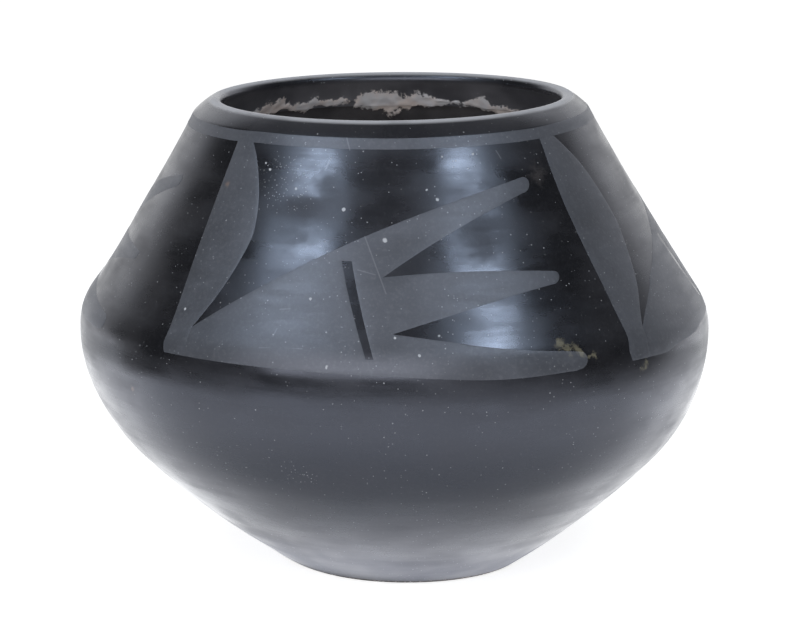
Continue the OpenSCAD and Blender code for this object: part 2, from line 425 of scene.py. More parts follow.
def lathe(name, profile, slot, count=360, aged=False, drawn=None):
    """A turned piece. An aged one carries where its crust, its inside and its crest are."""
    p, out, scraped, s = profile
    az = np.linspace(-math.pi, math.pi, count, endpoint=False)
    az, r = np.meshgrid(az, p[:, 0], indexing="ij")
    z = np.broadcast_to(p[:, 1], az.shape)
    true = turned(az, r, z)
    lift = np.zeros_like(az)
    if scraped.any():
        lift[:, scraped] = inner_relief(s[scraped], true[:, scraped])
    layers = {}
    if aged:
        in_neck = p[:, 0] < r_at(p[:, 1]) - NECK_DEPTH
        near = in_neck & (p[:, 1] > CRUST_REACH[0]) & (p[:, 1] < CRUST_REACH[1])
        crust = np.full_like(az, -1.0)
        crust[:, near] = crust_cover(true[:, near])
        thick = CRUST_T * np.clip(crust[:, near], 0, CRUST_FULL)
        lift[:, near] += thick * (CRUST_T_FROM + bumps(true[:, near], CRUST_RELIEF))
        inside = in_neck * (1 - smooth(p[:, 1], *SCRAPED_TOP))
        # Where the crest's pale line lies: partly wear, partly a painted highlight
        crest = smooth(p[:, 1], *(JAR_H - w for w in CREST_WEAR_AND_HIGHLIGHT_BAND))
        layers = {"crust": crust, "inside": inside, "crest": crest}
    r = r - lift * out[:, 0]
    z = z - lift * out[:, 1]
    if drawn:
        level = z
        z = level + drawn(az, level)
        r = r + r_at(z) - r_at(level)
    points = hand(turned(az, r, z)).reshape(-1, 3)
    faces, used = ring_faces(count, len(p), closed=p[0, 0] > ON_AXIS)
    obj = build(name, points[used], faces, slot)
    for label, values in layers.items():
        values = np.broadcast_to(values, az.shape).reshape(-1)[used]
        layer = obj.data.attributes.new(label, "FLOAT", "POINT")
        layer.data.foreach_set("value", values.astype(np.float32))
    return obj


# ---------------------------------------------------------------- the clay and the slip

# Rings of the pad's level faces, how far its underside stays within the foot, sides of the finer
# turned pieces, and steps along profiles
PAD_RINGS = 14
PAD_EDGE = 0.5
RIM_SIDES = 900
SLIP_SIDES = 720
BAND_SIDES = 480
FINE_STEP = 0.33
INSIDE_STEP = 0.8
HIDDEN_STEP = 4

pieces = {}
pieces["base_pad"] = lathe(
    "base_pad",
    joined(
        level_strip(np.linspace(0, BASE_D / 2 - PAD_EDGE, PAD_RINGS), 0, 0),
        strip(0, slip_s, 0, LIP_STEP),
        strip(slip_s, pad_s, clay_out),
        strip(pad_s - LAP, floor_s, clay_in, inside=True),
        arc_strip(floor_c, FLOOR_ROUND, floor_a, -UP, STEP, floor_s, inside=True),
        level_strip(np.linspace(floor_c[0], 0, PAD_RINGS)[1:], FLOOR_T, floor_s, inside=True),
    ),
    "fired_clay",
)
for k in range(1, COIL_COUNT + 1):
    low = pad_s + (k - 1) * coil_w
    high = low + coil_w
    pieces[f"wall_coil_{k}"] = lathe(
        f"wall_coil_{k}",
        joined(
            strip(low, high, clay_out, HIDDEN_STEP),
            strip(high - LAP, low - LAP, clay_in, INSIDE_STEP, inside=True),
        ),
        "fired_clay",
    )
pieces["rim_coil"] = lathe(
    "rim_coil",
    joined(
        strip(rim_s, lip_s, clay_out, 2),
        strip(lip_s, crest_s, clay_out, LIP_STEP),
        lip_inside(SLIP_T),
        strip(lip_s, rim_s - LAP, clay_in, FINE_STEP, inside=True),
    ),
    "fired_clay",
    count=RIM_SIDES,
    aged=True,
)
pieces["polished_slip"] = lathe(
    "polished_slip",
    joined(
        strip(slip_s, lip_s, 0, 1.2),
        strip(lip_s, crest_s, 0, 0.25),
        lip_inside(0),
        strip(lip_s, neck_slip_s, neck_in, LIP_STEP),
        strip(neck_slip_s, lip_s, clay_in, 1),
        lip_inside(SLIP_T, back=True),
        strip(crest_s, lip_s, clay_out, LIP_STEP),
        strip(lip_s, slip_s, clay_out, 3),
    ),
    "polished_slip",
    count=SLIP_SIDES,
    aged=True,
)

# ---------------------------------------------------------------- the painted design

# How far the paint stands above the polished face, how far it reaches under it, and how wide its
# rounded edge is
PAINT_LOOK_T = 0.05
PAINT_SUNK = 0.08
PAINT_EDGE = 0.28
PAINT_EDGE_T = 0.3

# As in the source
PAINT_RISE = 2.0
BAND_DROP = 4.9
BAND_H = 3.3
FAN_REACH = (78.0, 76.0, 77.0, 69.0)
TIP_R = (2.1, 1.7, 2.5)
SLIT_W = (3.0, 2.3)
UNIT_A = 90.0
paint_z = SHOULDER_Z + PAINT_RISE
band_top = JAR_H - BAND_DROP
field_top = band_top - BAND_H
field_h = field_top - paint_z
field_s = (float(s_at(paint_z)), float(s_at(field_top)))
band_s = (field_s[1], float(s_at(band_top)))
# Points of a unit: degrees from its leaf's straight edge, and share of the painted field's height
PAST = 0.03
LEAF_SIDE = [(-1.4, 1 + PAST), (-0.8, 0.6), (1.1, 0.05)]
LEAF_CORNER = [(1.15, 0), (2.4, -PAST)]
LEAF_FOOT = (6.35, 0.14)
LEAF_SWELL = [(12.3, 0.414), (13.4, 0.595), (12.9, 0.813)]
LEAF_NECK = (3.6, 1.02)
FINGERS = [
    [(32.3, 0.662), (78.5, 0.812), (57.6, 0.65), (43.2, 0.44)],
    [(60.3, 0.483), (78.8, 0.405), (62.1, 0.333), (45, 0.192)],
    [(60.9, 0.153), (78.5, 0.045), (70, -2 * PAST), (LEAF_FOOT[0], -PAST)],
]
DRAWN_REACH = 78.0
SLIT_ENDS = [(35.7, 0.508), (41, 0.075)]

BRUSH_STEPS = 40
CORNER_STEPS = 12
TIP_STEPS = 16
# The flat design's scale: mm for a degree of azimuth
DEG_MM = 1.5
# Gaps in mm between the points of the flat design, and how clear they stay of its edges
OUTLINE_GAP = 0.7
LATTICE_GAP = 1.7
LATTICE_ROW = 0.87
LATTICE_START = 0.5
LATTICE_CLEAR = 0.75
RIM_GAP = 0.3
RIM_CLEAR = 0.25
MERGE = 1e-5

# The painter's unsteady lines, by azimuth: how far the field's lower edge and the rim band stand
# above their level place
LOWER_EDGE = (
    (-180, -90, -43, -25, -8, 0, 7, 15, 19, 25, 31, 46, 56, 61, 66, 70, 73, 80, 100, 180),
    (
        0.8, 1.3, 1.2, 1.3, 1.0, 0.65, 0.1, -0.65, -0.8, -0.6,
        -0.15, 0.0, -0.1, 1.4, 1.8, 2.3, 3.4, 3.9, 3.6, 0.8,
    ),
)
LOWER_EDGE_FADE = 105.0
UPPER_EDGE = (
    (-180, -90, -50, -38, -16, 2, 45, 57, 75, 100, 180),
    (0, 0.1, 0.2, 0.6, 0.5, 0.35, 0.4, 0.7, 0.9, 0.8, 0),
)
UPPER_EDGE_START = 125.0
# A unit's leaf ends and its fan starts between these degrees
LEAF_END = (16, 13)
# The leaf of unit 2 is wider in its middle and leans, and its fan hangs lower
LEAF_2_WIDER = 0.13
LEAF_2_MIDDLE = ((0.15, 0.35), (1.0, 0.85))
LEAF_2_LEAN = ((0.05, 0.15, 0.35, 0.7, 0.95), (-0.9, -0.5, -0.1, 0.05, 0.7))
FAN_2_DROP = 3.0
FAN_2_START = ((7, 30), (0.14, 0.34))
# The fan of unit 4 hangs lower, and its middle finger is shorter
FAN_4_DROP = 2.8
FAN_4_START = (0.2, 0.68)
FAN_4_SHORTER = 2.0
FAN_4_FINGER = (0.4, 0.1)
FAN_4_TIP = (40, 60)


def seen(p):
    """The place of a unit's point seen square on: sideways and height in mm."""
    z = paint_z + p[1] * field_h
    return np.array([float(r_at(z)) * math.sin(math.radians(p[0] - UNIT_A / 2)), z])


def reached(p, reach):
    """The same for a fan that reaches so many degrees."""
    stretch = (reach - LEAF_FOOT[0]) / (DRAWN_REACH - LEAF_FOOT[0])
    return seen((LEAF_FOOT[0] + (p[0] - LEAF_FOOT[0]) * stretch, p[1]))


def brush(a, c, b, n=BRUSH_STEPS):
    """A stroke from a towards b, drawn towards c, without its last point."""
    k = (np.arange(n) / n)[:, None]
    return (1 - k) ** 2 * a + 2 * k * (1 - k) * c + k * k * b


def finger(i, reach):
    root = seen(LEAF_FOOT) if i == 0 else reached(FINGERS[i - 1][3], reach)
    upper, tip, lower, end = (reached(p, reach) for p in FINGERS[i])
    r = TIP_R[i]
    a = np.radians(90 - 180 * np.arange(TIP_STEPS) / TIP_STEPS)[:, None]
    return np.concatenate(
        [
            brush(root, upper, tip + [0, r]),
            tip + r * np.concatenate([np.cos(a), np.sin(a)], 1),
            brush(tip - [0, r], lower, end),
        ]
    )


def leaf_outline():
    side, corner, swell = ([seen(p) for p in ps] for ps in (LEAF_SIDE, LEAF_CORNER, LEAF_SWELL))
    return np.concatenate(
        [
            brush(*side),
            brush(side[2], *corner, CORNER_STEPS),
            [corner[1], seen((LEAF_FOOT[0], -PAST))],
            brush(seen(LEAF_FOOT), swell[0], swell[1]),
            brush(swell[1], swell[2], seen(LEAF_NECK)),
            [seen(LEAF_NECK), seen((LEAF_NECK[0] - 1, 1 + PAST))],
        ]
    )


def fan_outline(reach):
    foot = seen((LEAF_FOOT[0], -PAST))
    return np.concatenate([finger(i, reach) for i in range(len(FINGERS))] + [[foot]])


def slit_outline(reach):
    top, foot = (reached(p, reach) for p in SLIT_ENDS)
    top_side, foot_side = (np.array([w / 2, 0]) for w in SLIT_W)
    return np.array([top - top_side, top + top_side, foot + foot_side, foot - foot_side])


def to_skin(outline):
    """Points seen square on become (azimuth in mm along the wall, distance up the wall)."""
    x, z = outline[:, 0], outline[:, 1]
    az = np.degrees(np.arcsin(np.clip(x / r_at(z), -1, 1)))
    return np.stack([az * DEG_MM, s_at(z)], 1)


def sides(loop):
    return zip(loop, np.roll(loop, -1, axis=0))


def cut(outline, low, high):
    """The outline's part between two distances up the wall."""
    for bound, sign in ((low, 1), (high, -1)):
        kept = []
        for a, b in sides(outline):
            a_in, b_in = sign * (a[1] - bound) >= 0, sign * (b[1] - bound) >= 0
            if a_in:
                kept.append(a)
            if a_in != b_in:
                kept.append(a + (b - a) * (bound - a[1]) / (b[1] - a[1]))
        outline = np.array(kept)
    return outline


def fine(outline):
    """The outline with more points, so that no side is longer than the gap."""
    out = []
    for a, b in sides(outline):
        length = np.linalg.norm(b - a)
        if length < 1e-3:
            continue
        n = max(1, math.ceil(length / OUTLINE_GAP))
        out += [a + (b - a) * i / n for i in range(n)]
    return np.array(out)


def within(points, loop):
    """Which points lie inside the loop."""
    a, b = loop, np.roll(loop, -1, axis=0)
    x, y = points[:, 0, None], points[:, 1, None]
    crosses = (a[:, 1] > y) != (b[:, 1] > y)
    rise = np.where(b[:, 1] == a[:, 1], 1e-9, b[:, 1] - a[:, 1])
    at = a[:, 0] + (y - a[:, 1]) * (b[:, 0] - a[:, 0]) / rise
    return (crosses & (x < at)).sum(1) % 2 == 1


def edge_distance(points, loops):
    best = np.full(len(points), np.inf)
    for loop in loops:
        a, b = loop, np.roll(loop, -1, axis=0)
        d = b - a
        t = ((points[:, None] - a) * d).sum(2) / (d * d).sum(1)
        near = a + np.clip(t, 0, 1)[..., None] * d
        best = np.minimum(best, np.linalg.norm(points[:, None] - near, axis=2).min(1))
    return best


def own_hand(unit, deg, z):
    """Each unit is painted freely: where its points stand, in degrees and heights."""
    share = (z - paint_z) / field_h
    in_leaf = smooth(deg, *LEAF_END)
    if unit == 2:
        low, high = LEAF_2_MIDDLE
        leaf_deg = deg * (1 + LEAF_2_WIDER * smooth(share, *low) * smooth(share, *high))
        leaf_deg = leaf_deg + np.interp(share, *LEAF_2_LEAN)
        across, up = FAN_2_START
        fan_z = z - FAN_2_DROP * smooth(deg, *across) * smooth(share, *up)
        return in_leaf * leaf_deg + (1 - in_leaf) * deg, in_leaf * z + (1 - in_leaf) * fan_z
    if unit == 4:
        fan_z = z - FAN_4_DROP * smooth(share, *FAN_4_START)
        middle = np.exp(-(((share - FAN_4_FINGER[0]) / FAN_4_FINGER[1]) ** 2))
        fan_deg = deg - FAN_4_SHORTER * middle * smooth(deg, *FAN_4_TIP)
        return in_leaf * deg + (1 - in_leaf) * fan_deg, in_leaf * z + (1 - in_leaf) * fan_z
    return deg, z


def design_shift(az, z):
    """How far the design stands above its level place, for the painter's unsteady lines."""
    turn = (np.degrees(az) + 180) % 360 - 180
    low = np.interp(turn, *LOWER_EDGE) * (1 - smooth(z, paint_z, LOWER_EDGE_FADE))
    return low + np.interp(turn, *UPPER_EDGE) * smooth(z, UPPER_EDGE_START, field_top)


def on_jar(flat, unit, height):
    """Points of the flat design on the jar, so high above its polished face, before hand()."""
    deg, z = own_hand(unit, flat[:, 0] / DEG_MM + UNIT_A / 2, wall(flat[:, 1])[0][:, 1])
    az = np.radians(deg - UNIT_A / 2 + (unit - 1) * UNIT_A)
    z = z + design_shift(az, z)
    p, out = wall(s_at(z))
    p = p + np.reshape(height, (-1, 1)) * out
    return turned(az, p[:, 0], p[:, 1])


def inner_points(loops):
    """Points between the loops: a lattice, and two rows along each loop."""
    low, high = loops[0].min(0), loops[0].max(0)
    rows = np.arange(low[1] + LATTICE_START, high[1], LATTICE_GAP * LATTICE_ROW)
    columns = np.arange(low[0], high[0], LATTICE_GAP)
    lattice = [[x + (j % 2) * LATTICE_GAP / 2, y] for j, y in enumerate(rows) for x in columns]
    rims = []
    for loop in loops:
        along = np.roll(loop, -1, axis=0) - np.roll(loop, 1, axis=0)
        along /= np.linalg.norm(along, axis=1, keepdims=True)
        normal = np.stack([-along[:, 1], along[:, 0]], 1)
        rims += [loop + RIM_GAP * normal, loop - RIM_GAP * normal]

    def clear(points, gap):
        ok = within(points, loops[0]) & (edge_distance(points, loops) > gap)
        for hole in loops[1:]:
            ok &= ~within(points, hole)
        return points[ok]

    return np.concatenate(
        [clear(np.array(lattice), LATTICE_CLEAR), clear(np.concatenate(rims), RIM_CLEAR)]
    )


def paint_piece(name, unit, outline, holes=()):
    """A thin coat of paint inside the outline, laid on the slip."""
    loops = [fine(loop) for loop in (outline, *holes)]
    verts = np.concatenate([*loops, inner_points(loops)])
    edges, start = [], 0
    for loop in loops:
        n = len(loop)
        edges += [(start + i, start + (i + 1) % n) for i in range(n)]
        start += n
    flat, _, tris, *_ = geometry.delaunay_2d_cdt([Vector(v) for v in verts], edges, [], 1, MERGE)
    flat, tris = np.array([tuple(v) for v in flat]), np.array(tris)
    for hole in loops[1:]:
        tris = tris[~within(flat[tris].mean(1), hole)]
    rise = smooth(edge_distance(flat, loops), 0, PAINT_EDGE)
    height = PAINT_LOOK_T * (PAINT_EDGE_T + (1 - PAINT_EDGE_T) * rise)
    points = np.concatenate([on_jar(flat, unit, height), on_jar(flat, unit, -PAINT_SUNK)])
    n = len(flat)
    top = tris.tolist()
    ways = dict.fromkeys((a, b) for t in top for a, b in zip(t, t[1:] + t[:1]))
    rim = [[b, a, a + n, b + n] for a, b in ways if (b, a) not in ways]
    faces = top + (tris[:, ::-1] + n).tolist() + rim
    return build(name, hand(points), faces, "matte_paint")


pieces["rim_band"] = lathe(
    "rim_band",
    joined(strip(*band_s, -PAINT_LOOK_T, 0.5), strip(*band_s[::-1], PAINT_SUNK, 1)),
    "matte_paint",
    count=BAND_SIDES,
    drawn=design_shift,
)
for unit, reach in enumerate(FAN_REACH, 1):
    leaf = cut(to_skin(leaf_outline()), *field_s)
    fan = cut(to_skin(fan_outline(reach)), *field_s)
    slit = to_skin(slit_outline(reach))
    pieces[f"leaf_{unit}"] = paint_piece(f"leaf_{unit}", unit, leaf)
    pieces[f"fan_{unit}"] = paint_piece(f"fan_{unit}", unit, fan, [slit])

# ---------------------------------------------------------------- nodes

# Noises over the object's own coordinates: stretch (x, y, z), size, detail and roughness
NOISES = {
    "streak": ((18, 18, 900), 1.0, 4.0, 0.55),
    "lumps": ((1, 1, 2.2), 85.0, 4.0, 0.6),
    "haze": ((1, 1, 1.7), 46.0, 3.0, 0.5),
    "smear": ((34, 34, 150), 1.0, 2.5, 0.5),
    "foot_edge_noise": ((1, 1, 1), 28.0, 3.0, 0.55),
    "paint_cloud": ((1, 1, 1), 55.0, 5.0, 0.65),
    "brushed": ((60, 60, 400), 1.0, 3.0, 0.55),
    "tooth": ((1, 1, 1), 1500.0, 2.0, 0.55),
    "clay_cloud": ((1, 1, 1), 70.0, 5.0, 0.55),
    "crust_cloud": ((1, 1, 1), 110.0, 5.0, 0.55),
    "crust_grain": ((1, 1, 1), 900.0, 3.0, 0.55),
    "ragged": ((1, 1, 1), 420.0, 3.0, 0.55),
    "dusty": ((1, 1, 1), 45.0, 3.0, 0.55),
    "hairs": ((26, 3, 26), 22.0, 2.0, 0.55),
    "mottle": ((1, 1, 1), 900.0, 2.0, 0.55),
}
# Specks in cells: cells in a metre, and a speck's radius as a share of its cell
FINE_DUST = ((800.0, 0.2), (1100.0, 0.22))
GRIT = (420.0, 0.11)
SPECK_CORE = 0.6
SPECK_FAINTEST = 0.25
# Most of a noise's values lie between these
SPAN = (0.3, 0.7)


def material(name):
    m = bpy.data.materials.new(name)
    m.use_nodes = True
    m.node_tree.nodes.clear()
    return m, m.node_tree


def fill(tree, socket, value):
    """Links a socket or sets a plain value."""
    if isinstance(value, bpy.types.NodeSocket):
        tree.links.new(value, socket)
    else:
        socket.default_value = value


def put(tree, kind, inputs=None, **settings):
    """A node with its settings and inputs."""
    node = tree.nodes.new(kind)
    for key, value in settings.items():
        setattr(node, key, value)
    for key, value in (inputs or {}).items():
        fill(tree, node.inputs[key], value)
    return node


def calc(tree, kind, a, b=0.0, clamp=False):
    return put(tree, "ShaderNodeMath", {0: a, 1: b}, operation=kind, use_clamp=clamp).outputs[0]


def add(tree, a, b, clamp=False):
    return calc(tree, "ADD", a, b, clamp)


def times(tree, a, b):
    return calc(tree, "MULTIPLY", a, b)


def most(tree, first, *others):
    """The largest of several values."""
    for other in others:
        first = calc(tree, "MAXIMUM", first, other)
    return first


def size_of(tree, value):
    return calc(tree, "ABSOLUTE", value)


def ramp(tree, value, low, high, out_low=0.0, out_high=1.0):
    """A soft step from out_low at low to out_high at high."""
    inputs = {"Value": value, "From Min": low, "From Max": high}
    inputs |= {"To Min": out_low, "To Max": out_high}
    return put(tree, "ShaderNodeMapRange", inputs, interpolation_type="SMOOTHSTEP").outputs[0]


def tint(tree, factor, a, b):
    """Colour a where the factor is 0 and b where it is 1."""
    return put(tree, "ShaderNodeMix", {0: factor, 6: a, 7: b}, data_type="RGBA").outputs[2]


def position(tree):
    return put(tree, "ShaderNodeTexCoord").outputs["Object"]


def attribute(tree, name):
    node = put(tree, "ShaderNodeAttribute", attribute_name=name, attribute_type="GEOMETRY")
    return node.outputs["Fac"]


def vector(tree, kind, inputs):
    return put(tree, "ShaderNodeVectorMath", inputs, operation=kind).outputs


def parts(tree, spot):
    return put(tree, "ShaderNodeSeparateXYZ", {"Vector": spot}).outputs


def noise(tree, name):
    """The noise of that name in NOISES."""
    stretch, size, detail, rough = NOISES[name]
    spot = put(tree, "ShaderNodeMapping", {"Vector": position(tree), "Scale": stretch}).outputs[0]
    inputs = {"Vector": spot, "Scale": size, "Detail": detail, "Roughness": rough}
    return put(tree, "ShaderNodeTexNoise", inputs).outputs["Fac"]


def dust(tree, size, radius, share):
    """Small specks: up to 1 inside them. The share of the cells that hold one may be a socket."""
    inputs = {"Vector": position(tree), "Scale": size, "Randomness": 1.0}
    cells = put(tree, "ShaderNodeTexVoronoi", inputs)
    chance = put(tree, "ShaderNodeSeparateColor", {"Color": cells.outputs["Color"]}).outputs
    bright = ramp(tree, chance[1], 0.0, 1.0, SPECK_FAINTEST, 1.0)
    dot = ramp(tree, cells.outputs["Distance"], radius, radius * SPECK_CORE, 0.0, bright)
    return times(tree, dot, calc(tree, "LESS_THAN", chance[0], share))


def on_skin(deg, z):
    """The place on the finished jar at an azimuth in degrees and a height in mm, in metres."""
    return Vector(hand(turned(math.radians(deg), float(r_at(z)), z)) * MM)


def surface(tree, **inputs):
    inputs = {k.replace("_", " "): v for k, v in inputs.items()}
    shader = put(tree, "ShaderNodeBsdfPrincipled", inputs)
    put(tree, "ShaderNodeOutputMaterial", {"Surface": shader.outputs[0]})


def bumped(tree, height, strength, distance):
    inputs = {"Height": height, "Strength": strength, "Distance": distance}
    return put(tree, "ShaderNodeBump", inputs).outputs[0]


# ---------------------------------------------------------------- marks of age

# Round marks, each an azimuth in degrees, a height and a radius in mm
CHIPS = (
    (-1.5, 117.3, 0.95), (-32.3, 135.2, 0.50), (-23.7, 130.5, 0.41), (-11.0, 125.4, 0.50),
    (-6.6, 126.8, 0.36), (-43.2, 123.0, 0.41), (-24.2, 99.4, 0.41), (-15.7, 100.6, 0.40),
    (-11.9, 92.2, 0.50), (-11.3, 82.7, 0.66), (-41.9, 93.9, 0.41), (0.3, 91.3, 0.50),
    (10.7, 128.0, 0.66), (8.4, 130.7, 0.41), (13.3, 139.8, 0.50), (21.8, 139.9, 0.50),
    (9.0, 88.4, 0.41), (4.4, 86.7, 0.40), (8.2, 91.8, 0.75), (-34.1, 137.0, 0.40),
)
DUSTY = ((-29.5, 134.5, 9.0), (-26.0, 130.5, 9.0), (-22.0, 128.0, 5.0), (-18.2, 47.8, 6.0))
BROWN = ((-44.0, 129.9, 1.6), (-53.3, 66.7, 1.2))
YELLOW = (
    (30.3, 87.5, 2.2), (32.0, 86.2, 2.0), (34.0, 85.4, 2.0), (36.5, 84.0, 1.6), (48.9, 77.9, 2.0),
)
SMUDGE = ((39.4, 132.8, 4.5),)
DULL = ((-22.0, 124.0, 15.0), (-15.0, 131.0, 9.0), (19.0, 119.0, 14.0), (26.0, 128.0, 9.0))
# How ragged their edges are in mm, the share of the radius that is full, and their strength
MARKS = {
    "chips": (0.3, 0.5, 1.0, CHIPS),
    "dusty": (2.0, 0.5, 0.95, DUSTY),
    "brown": (0.6, 0.0, 0.6, BROWN),
    "yellow": (1.4, 0.0, 0.32, YELLOW),
    "smudge": (1.5, 0.0, 0.09, SMUDGE),
    "dull": (1.0, 0.0, 0.20, DULL),
}
# Scratches, each from (azimuth, height) to (azimuth, height), and their width in mm
SCRATCHES = (
    ((-5.8, 118.1), (-1.2, 102.9)),
    ((-6.9, 109.1), (-3.4, 107.9)),
    ((-15.6, 139.8), (-17.0, 136.1)),
    ((-21.3, 97.3), (-19.4, 97.7)),
    ((-23.6, 86.7), (-15.8, 87.4)),
    ((-12.2, 145.5), (-11.0, 142.0)),
    ((28.7, 140.4), (29.5, 138.1)),
    ((-21.1, 92.1), (-21.5, 90.1)),
)
SCRATCH_W = 0.30
# The share of the width that is full
SCRATCH_CORE = 0.3
SCRATCH_SHOWN = 0.17
HAIR_W = 0.006
HAIR_SHOWN = 0.05
# Where dust lies, the noise that spreads it, and how many times more there is at the most
DUST_SPAN = (0.42, 0.75)
DUST_MOST = 4.0
DUST_SHOWN = 0.8
GRIT_SHARE = 0.07
GRIT_SHOWN = 0.7
MOTTLE_SPAN = (0.45, 0.8)
MARK_ROUGH = 0.7
MOTTLE_COLOR = (0.5, 0.5, 0.52, 1)
SCRATCH_COLOR = (0.5, 0.51, 0.55, 1)
SMUDGE_COLOR = (0.40, 0.36, 0.36, 1)
YELLOW_COLOR = (0.46, 0.42, 0.28, 1)
BROWN_COLOR = (0.26, 0.18, 0.14, 1)
DUST_COLOR = (0.50, 0.51, 0.54, 1)
GRIT_COLOR = (0.52, 0.53, 0.56, 1)


def blots(tree, name):
    """A mask of the round marks of one kind, as strong as the kind is in their middles."""
    ragged, core, strength, spots = MARKS[name]
    edge = ramp(tree, noise(tree, "ragged"), *SPAN, -ragged * MM, ragged * MM)
    mask = 0.0
    for deg, z, radius in spots:
        away = vector(tree, "DISTANCE", {0: position(tree), 1: on_skin(deg, z)})["Value"]
        away = add(tree, away, edge)
        mask = most(tree, mask, ramp(tree, away, radius * MM, radius * core * MM))
    return times(tree, mask, strength) if strength < 1 else mask


def scratches(tree):
    """1 on the thin scratches."""
    where = position(tree)
    mask = 0.0
    for start, end in SCRATCHES:
        a, way = on_skin(*start), on_skin(*end) - on_skin(*start)
        past_a = vector(tree, "SUBTRACT", {0: where, 1: a})[0]
        along = vector(tree, "DOT_PRODUCT", {0: past_a, 1: way / way.length_squared})["Value"]
        along = add(tree, along, 0.0, clamp=True)
        foot = vector(tree, "SCALE", {0: way, "Scale": along})[0]
        away = vector(tree, "DISTANCE", {0: past_a, 1: foot})["Value"]
        edges = (SCRATCH_W * MM, SCRATCH_W * SCRATCH_CORE * MM)
        mask = most(tree, mask, ramp(tree, away, *edges))
    return mask


def aged(tree, base, rough, speck_share, mottled):
    """Base colour and roughness with the marks of age that the whole surface has."""
    spread = (speck_share, DUST_MOST * speck_share)
    loose = ramp(tree, noise(tree, "dusty"), *DUST_SPAN, *spread)
    loose = most(tree, loose, blots(tree, "dusty"))
    fine_dust = most(tree, *(dust(tree, *kind, loose) for kind in FINE_DUST))
    grit = times(tree, dust(tree, *GRIT, GRIT_SHARE), GRIT_SHOWN)
    grit = most(tree, grit, blots(tree, "chips"))
    hairs = size_of(tree, calc(tree, "SUBTRACT", noise(tree, "hairs"), 0.5))
    hairs = ramp(tree, hairs, HAIR_W, 0.0, 0.0, HAIR_SHOWN)
    scored = most(tree, times(tree, scratches(tree), SCRATCH_SHOWN), hairs)
    stained = blots(tree, "yellow")
    mottle = ramp(tree, noise(tree, "mottle"), *MOTTLE_SPAN, 0.0, mottled)
    for mask, color in (
        (mottle, MOTTLE_COLOR),
        (scored, SCRATCH_COLOR),
        (blots(tree, "smudge"), SMUDGE_COLOR),
        (stained, YELLOW_COLOR),
        (blots(tree, "brown"), BROWN_COLOR),
        (times(tree, fine_dust, DUST_SHOWN), DUST_COLOR),
        (grit, GRIT_COLOR),
    ):
        base = tint(tree, mask, base, color)
    marks = most(tree, grit, fine_dust, stained)
    return base, most(tree, rough, times(tree, marks, MARK_ROUGH))


CRUST_COLORS = ((0.80, 0.68, 0.63, 1), (0.74, 0.72, 0.74, 1))
CRUST_COLOR_SPAN = (0.35, 0.65)
CRUST_PATCHES = (-0.22, 0.22)
CRUST_SPECKS = (-0.35, 0.25)
CRUST_EDGE = (-0.06, 0.38)
CRUST_ROUGH = 0.9


def crusted(tree, base, rough):
    """Base colour and roughness with the mineral crust inside the neck, and the crust's grain."""
    cloud = noise(tree, "crust_cloud")
    grain = noise(tree, "crust_grain")
    pale = tint(tree, ramp(tree, cloud, *CRUST_COLOR_SPAN), *CRUST_COLORS)
    patchy = ramp(tree, cloud, *SPAN, *CRUST_PATCHES)
    patchy = add(tree, patchy, ramp(tree, grain, *SPAN, *CRUST_SPECKS))
    mask = ramp(tree, add(tree, attribute(tree, "crust"), patchy), *CRUST_EDGE)
    return tint(tree, mask, base, pale), most(tree, rough, times(tree, mask, CRUST_ROUGH)), grain


# ---------------------------------------------------------------- materials

SLIP_COLORS = ((0.005, 0.005, 0.006, 1), (0.012, 0.011, 0.012, 1))
SLIP_SHEEN = (0.76, 0.81, 1.0, 1)
SLIP_IOR = 1.95
SLIP_ROUGH = (0.155, 0.185)
SLIP_DUST = 0.045
SLIP_MOTTLE = 0.015
# A bump's strength and its distance in metres
SLIP_BUMP = (0.09, 0.0002)
STREAK_SPAN = (0.35, 0.7)
STREAK_BUMP = 0.35
LUMP_BUMP = 2.2
# How much haze and smears add to the roughness, and the noise values between which they do
HAZE_ROUGH = (0.25, 0.75, 0.0, 0.18)
SMEAR_ROUGH = (0.3, 0.8, 0.0, 0.10)
HAZE_COLOR_SPAN = (0.3, 0.75)
# The paler foot, partly wear and partly a painted reflection of the bright floor: its ragged edge,
# where it fades out upwards, in metres, and its look
FOOT_EDGE = (-0.003, 0.003)
FOOT_WEAR_AND_REFLECTION_SPAN = (0.022, 0.006)
FOOT_ROUGH = 0.12
FOOT_WEAR_AND_REFLECTION_COLOR = (0.088, 0.094, 0.118, 1)
# The lip's crest, worn pale and partly a painted highlight, and the scraped inside
CREST_WEAR_AND_HIGHLIGHT_SPAN = (0.3, 0.55, 0.45, 0.9)
CREST_WEAR_AND_HIGHLIGHT_COLOR = (0.52, 0.52, 0.55, 1)
SCRAPED_SPAN = (0.35, 0.65)
SCRAPED_COLORS = ((0.085, 0.082, 0.090, 1), (0.16, 0.155, 0.168, 1))
WORN_ROUGH = 0.5

PAINT_COLORS = ((0.060, 0.064, 0.074, 1), (0.086, 0.091, 0.106, 1))
PAINT_SHEEN = (0.79, 0.83, 1.0, 1)
PAINT_IOR = 2.05
PAINT_ROUGH = (0.38, 0.45)
PAINT_CLOUD_ROUGH = (0.35, 0.7, 0.0, 0.05)
PAINT_DUST = 0.05
PAINT_MOTTLE = 0.07
PAINT_BUMP = (0.2, 0.0003)
TOOTH_BUMP = 0.5

CLAY_COLORS = ((0.070, 0.066, 0.070, 1), (0.12, 0.113, 0.12, 1))
CLAY_ROUGH = 0.55
CLAY_BUMP = (0.4, 0.0004)


